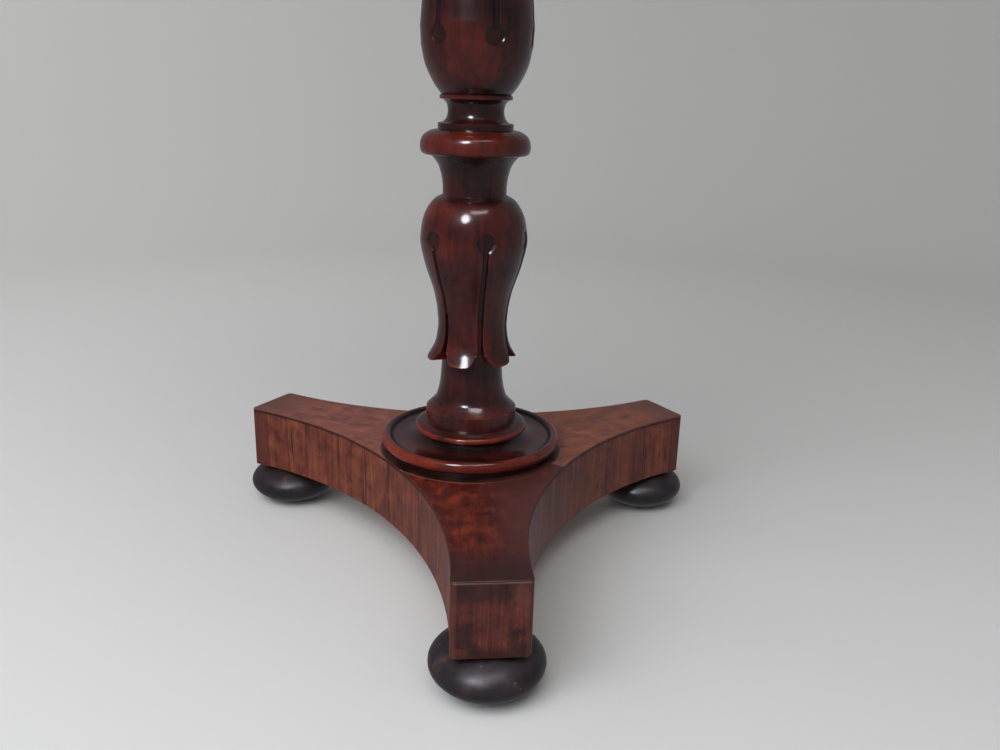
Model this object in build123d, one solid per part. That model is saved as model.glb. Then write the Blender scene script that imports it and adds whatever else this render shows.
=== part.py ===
from build123d import *
from math import cos, radians, sin
import os

# A round tilt-top table on a turned and carved pillar. The pillar stands on a flat plinth with
# three arms and hollowed sides, on three bun feet. Millimetres, +Z up. The origin is on the
# floor on the pillar's axis, and the front arm points along -Y.

# Plinth: reach and direction of each arm, cut by hand and so not quite even
arms = {"front": (217.4, -87.4), "right": (211.3, 28.2), "left": (216.3, 149.1)}
arm_width = 52.3
hollows = {"right": 85.0, "back": 79.0, "left": 73.0}  # axis to the middle of each hollowed side
plinth_under = 35.15
plinth_top = 89.65
top_veneer = 1.2
side_veneer = 1.5

# Bun feet
foot_reach_share = 0.886  # foot centre, as a share of its arm's reach
foot_radius = 39.1
foot_bulge = 18.4  # half height of the ellipse that the foot is turned to
spigot_radius = 11.0
spigot_length = 30.0

# Collars between plinth and pillar
dish_radius = 73.1
dish_rim = 104.0
dish_floor = 101.0
dish_undercut = 94.4  # under the rim's bead
boss_radius = 41.5  # raised middle of the dish, under the ring collar
boss_top = 107.6
collar_radius = 45.6
collar_top = 115.8

# Pillar
drum_radius = 36.5
drum_top = 127.0
bell_radius = 24.1
lower_petals = 172.0
petal_radius = 33.2
vase_radius = 41.6
waist_radius = 27.4
lower_waist = 196.6
lower_belly = 263.0
pillar_joint = 296.9
neck_radius = 24.5
ring_under = 326.6
ring_radius = 41.8
upper_vase = 369.2
upper_belly = 417.0
upper_waist = 522.0
upper_petals = 558.0
pillar_top = 673.0
shoulder_radius = 34.0
foot_tenon_radius = 20.0
joint_tenon_radius = 15.0
joint_tenon_length = 49.0
top_tenon_radius = 19.0
bead_count = 6  # sunk round marks round each vase
bead_radius = 6.9
bead_depth = 1.6

# Top, and the block that it tilts on
top_radius = 290.0
top_height = 720.0
top_thickness = 19.0
top_under = top_height - top_thickness
under_round = 4.5
ovolo_radius = 8.5
ovolo_z = top_height - ovolo_radius - 1.4
board_width = 193.4
block_width = 150.0
block_depth = 160.0
block_height = top_under - pillar_top
pivot_round = 14.0
pivot_y = block_depth / 2 - pivot_round - 0.2
pivot_z = top_under - pivot_round - 0.2
pin_radius = 8.0
pin_length = 20.0
pin_clearance = 0.25

# Bearers under the top
bearer_width = 25.0
bearer_height = 30.0
bearer_length = 440.0
bearer_end_height = 12.0
bearer_taper = 70.0
bearer_gap = 1.0
bearer_screws_y = (-190.0, -70.0, 30.0, 190.0)
bearer_screw = (4.2, 2.1, 25.0)  # head radius, shank radius, length
bearer_screw_head_z = 687.0
counterbore_radius = 4.6

# Snap catch under the top, in front of the block
plate_thickness = 2.5
plate_size = (46.0, 64.0)
plate_back = -82.0
box_width = 22.0
box_length = 54.0
box_back = -86.0
box_under = top_under - 19.5
bolt_size = (12.0, 8.0)
bolt_z = 688.0
bolt_nose = -82.0
bolt_tail = -120.0
bolt_clearance = 0.15
bolt_throw = 8.0
bolt_spare = 1.5
knob_y = -104.0
knob_shank = 2.4
end_plate_thickness = 2.0
striker_size = (30.0, 20.0)
striker_thickness = 1.5
striker_screw = (2.6, 1.3, 11.0)
striker_screws_x = 10.8
catch_screw = (3.2, 1.6, 12.0)
catch_screws_x = 17.0
catch_screw_margin = 7.0
mortise_size = (13.0, 9.0)
mortise_depth = 12.0

# Wedges in the pillar's tenons
wedge_length = 34.0
wedge_thick_end = 3.0
wedge_thin_end = 0.8
wedge_depth = 22.0


def save(shape, name):
    export_step(shape, f"parts/{name}.step")


def at_arm(name, reach, z=0.0):
    """The place at this distance along an arm, turned so that X points outwards."""
    direction = arms[name][1]
    x, y = reach * cos(radians(direction)), reach * sin(radians(direction))
    return Pos(x, y, z) * Rot(0, 0, direction)


def turned(edges, bore=0.0):
    """A turning from the edges of its outline, radius by height, closed at its bore or axis."""
    start, end = edges[0] @ 0, edges[-1] @ 1
    closing = Polyline((end.X, end.Y), (bore, end.Y), (bore, start.Y), (start.X, start.Y))
    return revolve(Plane.XZ * make_face(edges + [closing]), Axis.Z)


def plinth_outline():
    """Three straight arm ends joined by three hollowed arcs."""
    names = list(arms)
    corners = {}
    for name, (reach, direction) in arms.items():
        corners[name] = [
            at_arm(name, reach) * Pos(0, side * arm_width / 2) for side in (-1, 1)
        ]
    edges = []
    for index, (name, hollow) in enumerate(zip(names, hollows.values())):
        following = names[(index + 1) % len(names)]
        turn = (arms[following][1] - arms[name][1]) % 360
        middle = radians(arms[name][1] + turn / 2)
        first, second = [corner.position for corner in corners[name]]
        third = corners[following][0].position
        edges.append(Line(first, second))
        edges.append(ThreePointArc(second, (hollow * cos(middle), hollow * sin(middle)), third))
    return make_face(edges)


def beyond_arm_end(name):
    """Everything past the back of this arm's end veneer."""
    reach = arms[name][0] - side_veneer
    beyond = Box(100, 200, 200, align=(Align.MIN, Align.CENTER, Align.CENTER))
    return at_arm(name, reach, plinth_under) * beyond


def arm_sector(name):
    """A wedge of space round one arm, as far as the mitres halfway to its neighbours."""
    names = list(arms)
    index = names.index(name)
    direction = arms[name][1]
    before = (direction - arms[names[index - 1]][1]) % 360 / 2
    after = (arms[names[(index + 1) % 3]][1] - direction) % 360 / 2
    far = 600.0
    angles = [radians(direction - before), radians(direction), radians(direction + after)]
    points = [(far * cos(angle), far * sin(angle)) for angle in angles]
    return extrude(make_face(Polyline((0, 0), *points, close=True)), amount=top_height, dir=(0, 0, 1))


def wood_screw(head_radius, shank_radius, length, slot=True):
    """A countersunk screw standing on its head at the origin, with its point up."""
    edges = Polyline(
        (head_radius, 0),
        (head_radius, 0.4),
        (shank_radius, head_radius - shank_radius + 0.4),
        (shank_radius, length - 2 * shank_radius),
        (0.2, length),
    ).edges()
    screw = turned(list(edges))
    if slot:
        screw -= Box(3 * head_radius, head_radius * 0.3, head_radius * 0.5)
    return screw


def wedge(z, sign):
    """A wedge with its thick end at this height, driven in along Z with this sign."""
    thick, thin = wedge_thick_end / 2, wedge_thin_end / 2
    section = Polyline(
        (-thick, z), (thick, z), (thin, z + sign * wedge_depth), (-thin, z + sign * wedge_depth), close=True
    )
    return extrude(Plane.YZ * make_face(section), amount=wedge_length / 2, both=True)


def bead_marks(z, radius, first_direction):
    """Cutters for the row of sunk round marks at a vase's widest part."""
    marks = []
    for index in range(bead_count):
        turn = Rot(0, 0, first_direction + index * 360 / bead_count)
        marks.append(turn * Pos(radius, 0, z) * Rot(0, 90, 0) * Cylinder(bead_radius, 2 * bead_depth))
    return marks


os.makedirs("parts", exist_ok=True)

# Plinth core with its veneers, and the feet that plug into it
outline = plinth_outline()
inner_outline = offset(outline, -side_veneer, kind=Kind.INTERSECTION)
core_height = plinth_top - top_veneer - plinth_under
core = Pos(0, 0, plinth_under) * extrude(inner_outline, amount=core_height, dir=(0, 0, 1))
skin = Pos(0, 0, plinth_under) * extrude(outline, amount=core_height, dir=(0, 0, 1)) - core
top_skin = Pos(0, 0, plinth_top - top_veneer) * extrude(outline, amount=top_veneer, dir=(0, 0, 1))
core -= Cylinder(foot_tenon_radius, 3 * plinth_top)
top_skin -= Cylinder(foot_tenon_radius, 3 * plinth_top)

foot_section = Pos(0, plinth_under / 2) * Ellipse(foot_radius, foot_bulge)
foot_section &= Rectangle(2 * foot_radius, plinth_under, align=(Align.MIN, Align.MIN))
bun = revolve(Plane.XZ * foot_section, Axis.Z)
spigot = Pos(0, 0, plinth_under) * Cylinder(
    spigot_radius, spigot_length, align=(Align.CENTER, Align.CENTER, Align.MIN)
)

sides = skin
for arm in arms:
    end = beyond_arm_end(arm)
    save(skin & end, f"end_veneer_{arm}")
    sides -= end
    save(top_skin & arm_sector(arm), f"top_veneer_{arm}")
    place = at_arm(arm, foot_reach_share * arms[arm][0])
    core -= place * spigot
    save(place * (bun + spigot), f"foot_{arm}")
save(core, "platform_core")

side_strips = sides.solids()
save(side_strips.sort_by(Axis.Y)[-1], "side_veneer_back")
front_strips = side_strips.sort_by(Axis.Y)[:2].sort_by(Axis.X)
save(front_strips[0], "side_veneer_left")
save(front_strips[1], "side_veneer_right")

# Dished collar and plain ring collar under the pillar
dish = turned(
    [
        Line((67.2, plinth_top), (67.2, dish_undercut)),
        Line((67.2, dish_undercut), (70.2, dish_undercut)),
        ThreePointArc((70.2, dish_undercut), (dish_radius, 99.2), (70.2, dish_rim)),
        Line((70.2, dish_rim), (68.6, dish_rim)),
        ThreePointArc((68.6, dish_rim), (62, dish_floor + 0.8), (54, dish_floor)),
        ThreePointArc((54, dish_floor), (46.2, dish_floor + 2.2), (boss_radius, boss_top)),
    ],
    bore=foot_tenon_radius,
)
save(dish, "dish_collar")
ring = turned(
    [
        ThreePointArc((43.8, boss_top), (collar_radius, 110.2), (43.6, 112.8)),
        Line((43.6, 112.8), (39.6, 114.6)),
        Line((39.6, 114.6), (39.6, collar_top)),
    ],
    bore=foot_tenon_radius,
)
save(ring, "ring_collar")

# Lower pillar: foot tenon, drum, bell and the lower vase, with a socket in its top
socket_bottom = pillar_joint - joint_tenon_length - 1.0
lower = turned(
    [
        Line((foot_tenon_radius, plinth_under), (foot_tenon_radius, collar_top)),
        Line((foot_tenon_radius, collar_top), (drum_radius, collar_top)),
        Line((drum_radius, collar_top), (drum_radius, drum_top)),
        Spline(
            (drum_radius, drum_top), (30.6, 132.2), (27.0, 139.2), (25.1, 151.5), (bell_radius, lower_petals)
        ),
        Line((bell_radius, lower_petals), (petal_radius, lower_petals)),
        Spline(
            (petal_radius, lower_petals),
            (29.6, 182.2),
            (waist_radius, lower_waist),
            (29.9, 218.0),
            (36.8, 239.6),
            (vase_radius, lower_belly),
            (38.8, 280.5),
            (neck_radius + 0.3, pillar_joint),
        ),
        Line((neck_radius + 0.3, pillar_joint), (joint_tenon_radius, pillar_joint)),
        Line((joint_tenon_radius, pillar_joint), (joint_tenon_radius, socket_bottom)),
    ]
)
base_wedge = wedge(plinth_under, 1)
lower -= base_wedge
lower -= bead_marks(264.5, 41.5, -78.2)
save(base_wedge, "base_wedge")
save(lower, "lower_column")

# Upper pillar: joint tenon, neck, ring, upper vase, plain shaft and the tenon in the block
upper = turned(
    [
        Line((joint_tenon_radius, socket_bottom + 1.0), (joint_tenon_radius, pillar_joint)),
        Line((joint_tenon_radius, pillar_joint), (neck_radius, pillar_joint)),
        Line((neck_radius, pillar_joint), (neck_radius, 303.5)),
        Spline((neck_radius, 303.5), (25.6, 311.2), (28.4, 319.4), (34.0, ring_under)),
        Line((34.0, ring_under), (39.8, ring_under)),
        ThreePointArc((39.8, ring_under), (ring_radius, 332.6), (34.0, 344.0)),
        Line((34.0, 344.0), (28.5, 345.4)),
        Line((28.5, 345.4), (28.5, 349.2)),
        Line((28.5, 349.2), (24.4, 350.4)),
        ThreePointArc((24.4, 350.4), (21.1, 358.2), (24.4, 365.8)),
        Line((24.4, 365.8), (27.2, 366.6)),
        Line((27.2, 366.6), (27.2, upper_vase)),
        Spline(
            (27.2, upper_vase),
            (31.9, 377.6),
            (38.0, 390.2),
            (vase_radius, upper_belly),
            (38.6, 448.0),
            (31.0, 488.0),
            (waist_radius, upper_waist),
            (petal_radius, upper_petals),
        ),
        Line((petal_radius, upper_petals), (25.0, upper_petals)),
        Spline((25.0, upper_petals), (23.6, 600.0), (26.2, 645.0), (shoulder_radius, 667.0)),
        Line((shoulder_radius, 667.0), (shoulder_radius, pillar_top)),
        Line((shoulder_radius, pillar_top), (top_tenon_radius, pillar_top)),
        Line((top_tenon_radius, pillar_top), (top_tenon_radius, top_under)),
    ]
)
top_wedge = wedge(top_under, -1)
upper -= top_wedge
upper -= bead_marks(410.0, 41.3, -73.0)
save(top_wedge, "top_wedge")
save(upper, "upper_column")

# Pivot block: the rear edge is rounded about the pivot and flat below it, which is the stop
half_depth = block_depth / 2
side_of_block = make_face(
    [
        Polyline(
            (pivot_y, top_under - 0.2),
            (pivot_y, top_under),
            (-half_depth, top_under),
            (-half_depth, pillar_top),
            (half_depth, pillar_top),
            (half_depth, pivot_z),
            (pivot_y + pivot_round, pivot_z),
        ),
        CenterArc((pivot_y, pivot_z), pivot_round, 0, 90),
    ]
)
block = extrude(Plane.YZ * side_of_block, amount=block_width / 2, both=True)
pin_span = block_width + 2 * pin_length
block += Pos(0, pivot_y, pivot_z) * Rot(0, 90, 0) * Cylinder(pin_radius, pin_span)
block -= Pos(0, 0, pillar_top) * Cylinder(top_tenon_radius, 4 * block_height)
striker_place = Pos(0, -half_depth, bolt_z)
striker = striker_place * Box(
    striker_size[0], striker_thickness, striker_size[1], align=(Align.CENTER, Align.MIN, Align.CENTER)
)
mortise = striker_place * Box(
    mortise_size[0], mortise_depth, mortise_size[1], align=(Align.CENTER, Align.MIN, Align.CENTER)
)
block -= [striker, mortise]
striker -= mortise
striker_screws = []
for side in (-1, 1):
    place = Pos(side * striker_screws_x, -half_depth, bolt_z) * Rot(-90, 0, 0)
    hole = place * wood_screw(*striker_screw, slot=False)
    block -= hole
    striker -= hole
    striker_screws.append(place * wood_screw(*striker_screw))
save(block, "pivot_block")
save(striker, "striker_plate")
save(Compound(children=striker_screws), "striker_screws")

# Bearers with the blind holes that turn on the block's pins
half_length = bearer_length / 2
bearer_section = Polyline(
    (-half_length, top_under),
    (half_length, top_under),
    (half_length, top_under - bearer_end_height),
    (half_length - bearer_taper, top_under - bearer_height),
    (-half_length + bearer_taper, top_under - bearer_height),
    (-half_length, top_under - bearer_end_height),
    close=True,
)
bearer = extrude(Plane.YZ * make_face(bearer_section), amount=bearer_width / 2, both=True)
bearer_x = block_width / 2 + bearer_gap + bearer_width / 2
pin_hole = Pos(0, pivot_y, pivot_z) * Rot(0, 90, 0) * Cylinder(
    pin_radius + pin_clearance, pin_span + 2 * bearer_gap
)
bearers = {"left": Pos(-bearer_x, 0, 0) * bearer, "right": Pos(bearer_x, 0, 0) * bearer}
bearer_screws = []
screw_holes = []
for side in (-1, 1):
    for y in bearer_screws_y:
        place = Pos(side * bearer_x, y, bearer_screw_head_z)
        bearer_screws.append(place * wood_screw(*bearer_screw))
        screw_holes.append(place * wood_screw(*bearer_screw, slot=False))
        screw_holes.append(
            place * Cylinder(counterbore_radius, 40, align=(Align.CENTER, Align.CENTER, Align.MAX))
        )
for name, solid in bearers.items():
    save(solid - pin_hole - screw_holes, f"bearer_{name}")
save(Compound(children=bearer_screws), "bearer_screws")

# Snap catch: plate and box in one casting, closed by an end plate
plate = Pos(0, plate_back, top_under - plate_thickness) * Box(
    plate_size[0], plate_size[1], plate_thickness, align=(Align.CENTER, Align.MAX, Align.MIN)
)
box_height = top_under - plate_thickness - box_under
catch = plate + Pos(0, box_back, box_under) * Box(
    box_width, box_length, box_height, align=(Align.CENTER, Align.MAX, Align.MIN)
)
channel = Box(
    bolt_size[0] + 2 * bolt_clearance, 2 * box_length, bolt_size[1] + 2 * bolt_clearance
)
catch -= Pos(0, box_back - box_length / 2, bolt_z) * channel
slot_half = knob_shank + 0.3
slot_front = knob_y - bolt_spare - slot_half
slot_back = knob_y + bolt_throw + slot_half
catch -= Pos(0, slot_front, bolt_z) * Box(
    2 * slot_half, slot_back - slot_front, 40, align=(Align.CENTER, Align.MIN, Align.MAX)
)
end_plate = Pos(0, box_back - box_length, box_under) * Box(
    box_width, end_plate_thickness, box_height, align=(Align.CENTER, Align.MIN, Align.MIN)
)
catch -= end_plate
catch_screws = []
catch_holes = []
for x in (-catch_screws_x, catch_screws_x):
    for y in (plate_back - catch_screw_margin, plate_back - plate_size[1] + catch_screw_margin):
        place = Pos(x, y, top_under - plate_thickness)
        catch_screws.append(place * wood_screw(*catch_screw))
        catch_holes.append(place * wood_screw(*catch_screw, slot=False))
save(catch - catch_holes, "catch_body")
save(end_plate, "catch_end_plate")
save(Compound(children=catch_screws), "catch_screws")

# Bolt with a bevelled nose, and its knob
bolt_length = bolt_nose - bolt_tail
bolt_half = bolt_size[1] / 2
bolt_side = Polyline(
    (bolt_tail, bolt_z - bolt_half),
    (bolt_nose - 5.0, bolt_z - bolt_half),
    (bolt_nose, bolt_z + 1.0),
    (bolt_nose, bolt_z + bolt_half),
    (bolt_tail, bolt_z + bolt_half),
    close=True,
)
bolt = extrude(Plane.YZ * make_face(bolt_side), amount=bolt_size[0] / 2, both=True)
knob = turned(
    [
        Line((knob_shank, bolt_z), (knob_shank, 678.6)),
        Line((knob_shank, 678.6), (4.4, 677.6)),
        ThreePointArc((4.4, 677.6), (6.0, 674.8), (4.0, 672.2)),
        Line((4.0, 672.2), (1.0, 671.4)),
    ]
)
knob = Pos(0, knob_y, 0) * knob
save(bolt - knob, "catch_bolt")
save(knob, "catch_knob")

# Coil spring between the bolt's tail and the end plate
wire_radius = 0.5
coil_radius = 3.1
spring_front = box_back - box_length + end_plate_thickness + wire_radius + 0.1
spring_length = bolt_tail - wire_radius - 0.1 - spring_front
spring_pitch = spring_length / 6
coil = Helix(spring_pitch, spring_length, coil_radius)
start_plane = Plane(origin=coil @ 0, z_dir=coil % 0)
spring = sweep(start_plane * Circle(wire_radius), path=coil, is_frenet=True)
save(Pos(0, spring_front, bolt_z) * Rot(-90, 0, 0) * spring, "catch_spring")

# The round top: three boards jointed edge to edge, with a moulded edge turned all round
top = turned(
    [
        CenterArc((top_radius - under_round, top_under + under_round), under_round, -90, 90),
        Line((top_radius, top_under + under_round), (top_radius, ovolo_z)),
        CenterArc((top_radius - ovolo_radius, ovolo_z), ovolo_radius, 0, 90),
        Line((top_radius - ovolo_radius, ovolo_z + ovolo_radius), (top_radius - ovolo_radius, top_height)),
    ]
)
top = top - screw_holes - catch_holes
far = 2 * top_radius
before_joint = Box(far, far, far, align=(Align.CENTER, Align.MAX, Align.CENTER))
behind_joint = Box(far, far, far, align=(Align.CENTER, Align.MIN, Align.CENTER))
slabs = {
    "front": Pos(0, -board_width / 2, top_height) * before_joint,
    "middle": Pos(0, 0, top_height) * Box(far, board_width, far),
    "rear": Pos(0, board_width / 2, top_height) * behind_joint,
}
for name, slab in slabs.items():
    save(top & slab, f"top_board_{name}")
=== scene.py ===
import math
import bpy
import numpy as np
from mathutils import Matrix, Vector


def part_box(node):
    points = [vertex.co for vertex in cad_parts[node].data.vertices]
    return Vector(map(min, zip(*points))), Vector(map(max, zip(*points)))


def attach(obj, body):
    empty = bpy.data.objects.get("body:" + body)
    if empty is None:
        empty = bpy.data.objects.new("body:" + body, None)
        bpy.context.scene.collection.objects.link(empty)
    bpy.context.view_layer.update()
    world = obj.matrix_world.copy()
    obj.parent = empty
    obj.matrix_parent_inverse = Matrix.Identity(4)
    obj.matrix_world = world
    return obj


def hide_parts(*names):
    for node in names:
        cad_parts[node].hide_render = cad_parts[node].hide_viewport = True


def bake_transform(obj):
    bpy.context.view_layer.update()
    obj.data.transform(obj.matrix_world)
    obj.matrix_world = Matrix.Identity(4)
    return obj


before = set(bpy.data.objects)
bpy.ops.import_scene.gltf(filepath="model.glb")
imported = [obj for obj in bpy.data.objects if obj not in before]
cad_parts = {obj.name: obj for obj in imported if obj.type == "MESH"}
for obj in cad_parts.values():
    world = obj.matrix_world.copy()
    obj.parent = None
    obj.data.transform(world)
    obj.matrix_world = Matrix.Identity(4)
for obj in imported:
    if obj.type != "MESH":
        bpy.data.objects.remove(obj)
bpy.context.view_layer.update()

mm = 0.001
print("frame loaded:", len(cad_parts), "nodes")


def deselectAll():
    bpy.ops.object.select_all(action="DESELECT")


def pickOnly(piece):
    deselectAll()
    piece.select_set(True)
    bpy.context.view_layer.objects.active = piece


def linearColor(code, alpha=1.0):  # "#rrggbb" in sRGB to the linear values that shaders want
    parts = [int(code[i:i + 2], 16) / 255 for i in (1, 3, 5)]
    return [p / 12.92 if p <= 0.04045 else ((p + 0.055) / 1.055) ** 2.4 for p in parts] + [alpha]


def addNode(tree, kind, settings=None, inputs=None):
    node = tree.nodes.new(kind)
    for key, value in (settings or {}).items():
        if key == "stops":  # the stops of a colour ramp: place, colour
            elements = node.color_ramp.elements
            while len(elements) < len(value):
                elements.new(1.0)
            for element, (place, code) in zip(elements, value):
                element.position = place
                element.color = linearColor(code)
        else:
            setattr(node, key, value)
    for key, value in (inputs or {}).items():
        named = [socket for socket in node.inputs if socket.enabled and socket.name == key]
        socket = named[0] if named else node.inputs[key]
        if isinstance(value, bpy.types.Node):  # its first output in use
            value = next(output for output in value.outputs if output.enabled)
        if isinstance(value, bpy.types.NodeSocket):
            tree.links.new(value, socket)
        else:
            socket.default_value = linearColor(value) if isinstance(value, str) else value
    return node


def newMaterial(name, shaderInputs):
    material = bpy.data.materials.new(name)
    material.use_nodes = True
    tree = material.node_tree
    shader = tree.nodes["Principled BSDF"]
    for key, value in shaderInputs.items():
        shader.inputs[key].default_value = value
    return material, tree, shader


def paint(piece, material):
    piece.data.materials.clear()
    piece.data.materials.append(material)


def applyModifier(piece, kind, **settings):
    pickOnly(piece)
    modifier = piece.modifiers.new(kind.lower(), kind)
    for key, value in settings.items():
        setattr(modifier, key, value)
    bpy.ops.object.modifier_apply(modifier=modifier.name)


def smoothByAngle(piece, degrees):
    pickOnly(piece)
    bpy.ops.object.shade_smooth_by_angle(angle=math.radians(degrees))


def copyOfNode(node, name, edge=0.0, segments=3, flatAngle=1.0, cutters=()):
    # a CAD node's mesh, merged and with its sharp edges eased
    piece = bpy.data.objects.new(name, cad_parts[node].data.copy())
    bpy.context.scene.collection.objects.link(piece)
    pickOnly(piece)
    bpy.ops.object.mode_set(mode="EDIT")
    bpy.ops.mesh.select_all(action="SELECT")
    bpy.ops.mesh.remove_doubles(threshold=0.002 * mm)
    bpy.ops.mesh.customdata_custom_splitnormals_clear()
    bpy.ops.mesh.dissolve_limited(angle_limit=math.radians(flatAngle))
    bpy.ops.object.mode_set(mode="OBJECT")
    for cutter in cutters:
        applyModifier(piece, "BOOLEAN", operation="DIFFERENCE", object=cutter, solver="EXACT")
    if edge:
        applyModifier(piece, "BEVEL", width=edge, segments=segments, limit_method="ANGLE",
                      angle_limit=math.radians(35), use_clamp_overlap=True)
    smoothByAngle(piece, 35)
    if edge:
        applyModifier(piece, "WEIGHTED_NORMAL", keep_sharp=True)
    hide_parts(node)
    return piece


def smoothRun(points, spacing):
    # points along a curve that goes through these outline points, radius by height in mm
    given = np.array(points, float)
    padded = np.vstack([2 * given[0] - given[1], given, 2 * given[-1] - given[-2]])
    rows = []
    for i in range(1, len(padded) - 2):
        a, b, c, d = padded[i - 1:i + 3]
        count = max(2, int(np.linalg.norm(c - b) / spacing + 0.5))
        for t in np.arange(count) / count:
            rows.append(0.5 * (2 * b + (c - a) * t + (2 * a - 5 * b + 4 * c - d) * t ** 2
                + (3 * b - a - 3 * c + d) * t ** 3))
    rows.append(given[-1])
    return rows


def straightRun(points, spacing):
    given = np.array(points, float)
    rows = []
    for b, c in zip(given[:-1], given[1:]):
        count = max(1, int(np.linalg.norm(c - b) / spacing + 0.5))
        rows += [b + (c - b) * t for t in np.arange(count) / count]
    rows.append(given[-1])
    return rows


def smoothStep(low, high, value):
    t = np.clip((value - low) / (high - low), 0, 1)
    return t * t * (3 - 2 * t)


carving = {
    "marks": 6,             # grooves round each vase
    "grooveHalf": 1.9,      # mm, like all lengths here
    "grooveDepth": 1.9,
    "grooveSoft": 0.55,     # how far a groove's edge is rounded over
    "flareGain": 1.1,       # how much wider a groove gets towards the petals' edge
    "flareReach": 12,       # over this much of its length
    "deepReach": 34,        # how far up from the edge it is cut down to the floor
    "markRadius": 8.3,
    "markDepth": 1.7,
    "steps": 53,            # mesh columns in each sixth of the turn
    "crowd": 0.45,          # how much closer they stand at a groove
    "swellReach": 14,        # each way that the outline is averaged over
    # the same rise below the mean sets where the painted shade in the outline's hollows is darkest
    "swellRise": 1.6,        # above that mean where the polish is most rubbed
}

petal = {
    "radius": 33.4,         # of the vase at the petals' edge
    "round": 0.016,         # how strongly the whole edge curves, per mm
    "cornerStart": 6.4,     # from a petal's middle to where its corner begins
    "cornerWidth": 6.2,
    "cornerDrop": 4.6,      # how far the edge falls back in one corner length
    "cornerLength": 5.4,
    "reach": 16.0,          # how far up the cut edge bends the surface
    "tip": 4.4,             # how far a petal hangs past the plain edge
}

lowerVase = {
    "first": -78.2,         # direction of the first groove, degrees
    "markZ": 264.5,
    "toPetals": -1,         # the grooves run down from the marks to the petals
    "edgeZ": 172.0,         # plain edge that the petals are cut from
    "floor": 25.1,          # radius that the grooves run out at
    "rubbed": 0.32,         # how red the swelling parts have worn
    "plainRub": 0.2,        # the plain turnings below it, as a share of that
}

upperVase = {
    "first": -73.0,
    "markZ": 410.0,
    "toPetals": 1,
    "edgeZ": 558.0,
    "floor": 25.6,
    "rubbed": 0.52,
    "plainRub": 1.0,
}


def swellOfOutline(rows):
    # -1 to 1 for each row: how far the outline swells out past its own running mean, or falls inside it
    step = 0.5
    even = np.arange(rows[:, 1].min(), rows[:, 1].max(), step)
    outline = np.interp(even, np.maximum.accumulate(rows[:, 1]), rows[:, 0])
    reach = int(carving["swellReach"] / step)
    window = np.ones(2 * reach + 1) / (2 * reach + 1)
    mean = np.convolve(np.pad(outline, reach, mode="edge"), window, mode="valid")
    return np.clip(np.interp(rows[:, 1], even, outline - mean) / carving["swellRise"], -1, 1)


def petalCut(offset, sector):
    # how far the cut edge hangs past the plain one, for each column: rounded lobes between the grooves
    lobe = np.abs(np.abs(offset) - sector / 2) * petal["radius"]  # mm from the middle of a petal
    corner = np.clip(lobe - petal["cornerStart"], 0, petal["cornerWidth"]) / petal["cornerLength"]
    cut = petal["tip"] - petal["round"] * lobe ** 2 - petal["cornerDrop"] * corner ** 2
    end = petal["cornerStart"] + petal["cornerWidth"]
    return np.where(lobe > end, cut[np.argmin(np.abs(lobe - end))], cut)


def gridPiece(name, radius, theta, height, layers):
    # rows of rings into a closed mesh, with a number at each point for each layer
    count, around = radius.shape
    points = np.stack([radius * np.cos(theta), radius * np.sin(theta), height], -1).reshape(-1, 3) * mm
    i, j = np.meshgrid(np.arange(count - 1), np.arange(around), indexing="ij")
    k = (j + 1) % around
    corners = [i * around + j, i * around + k, (i + 1) * around + k, (i + 1) * around + j]
    faces = np.stack(corners, -1).reshape(-1, 4).tolist()
    faces.append(list(range(around))[::-1])
    faces.append([(count - 1) * around + n for n in range(around)])
    mesh = bpy.data.meshes.new(name)
    mesh.from_pydata(points.tolist(), [], faces)
    for label, values in layers.items():
        layer = mesh.attributes.new(label, "FLOAT", "POINT")
        layer.data.foreach_set("value", values.reshape(-1).astype(np.float32))
    piece = bpy.data.objects.new(name, mesh)
    bpy.context.scene.collection.objects.link(piece)
    smoothByAngle(piece, 42)
    return piece


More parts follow.
